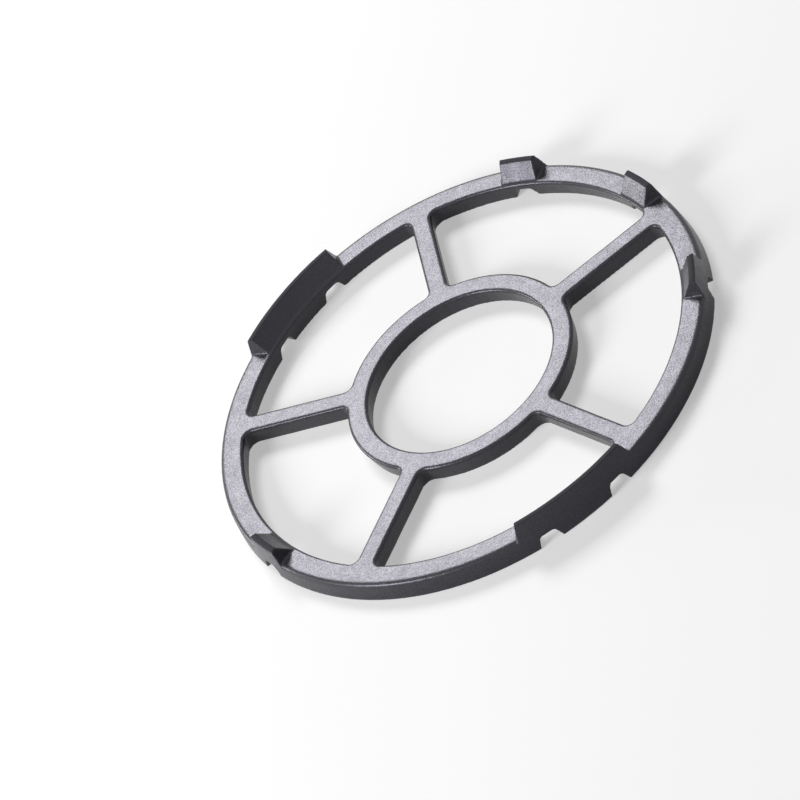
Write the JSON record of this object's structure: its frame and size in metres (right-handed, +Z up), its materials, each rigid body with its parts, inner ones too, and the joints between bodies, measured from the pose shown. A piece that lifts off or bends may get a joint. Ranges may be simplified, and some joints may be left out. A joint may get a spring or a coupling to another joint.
{
  "type": "wok ring",
  "caption": "Flat cast iron ring with spokes, raised wedge pads that cradle a round wok and notches underneath that sit on the claws of a gas hob's pan support.",
  "frame": {"origin": "centre of the ring, in the plane of the flat underside", "axes": "+Z up towards the wok; +X along the axis of symmetry, to the notch that only a four-claw support uses"},
  "size_m": [0.2096, 0.2096, 0.015],
  "materials": {
    "wok_ring": "matte black enamel over rough cast iron"
  },
  "bodies": {
    "root": {"wok_ring": "wok_ring"}
  },
  "joints": []
}
